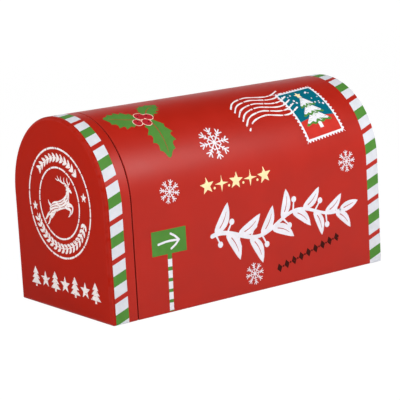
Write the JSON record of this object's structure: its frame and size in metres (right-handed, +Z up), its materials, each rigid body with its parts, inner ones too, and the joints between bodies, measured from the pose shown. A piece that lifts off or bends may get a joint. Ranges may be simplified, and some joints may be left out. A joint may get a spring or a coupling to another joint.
{
  "type": "tin money box",
  "caption": "Round-roofed mailbox-shaped tin money box with a flush pull-off end lid, an inner neck collar and a coin slot in its recessed back panel.",
  "frame": {"origin": "middle of the flat base that the box rests on, half way along its length and width", "axes": "+X along the length towards the back panel, so the lid is at -X; +Y across the width; +Z up"},
  "size_m": [0.16, 0.076, 0.09],
  "materials": {
    "red_lacquer": "satin printed lacquer on tinplate",
    "lid_red": "satin printed lacquer on tinplate",
    "bare_tin": "plain rolled tinplate",
    "white_ink": "satin white print",
    "green_ink": "satin green print",
    "teal_ink": "satin teal print",
    "berry_ink": "satin berry-red print",
    "yellow_ink": "satin pale yellow print",
    "dark_ink": "satin dark brown print"
  },
  "bodies": {
    "box": {"body_wrap": "red_lacquer", "neck_collar": "bare_tin", "rear_panel": "red_lacquer"},
    "lid": {"lid_band": "red_lacquer", "lid_panel": "lid_red"}
  },
  "joints": [
    {"name": "lid_pull", "type": "slide", "parent": "box", "child": "lid", "axis": [-1, 0, 0], "range_m": [0, 0.04]}
  ]
}
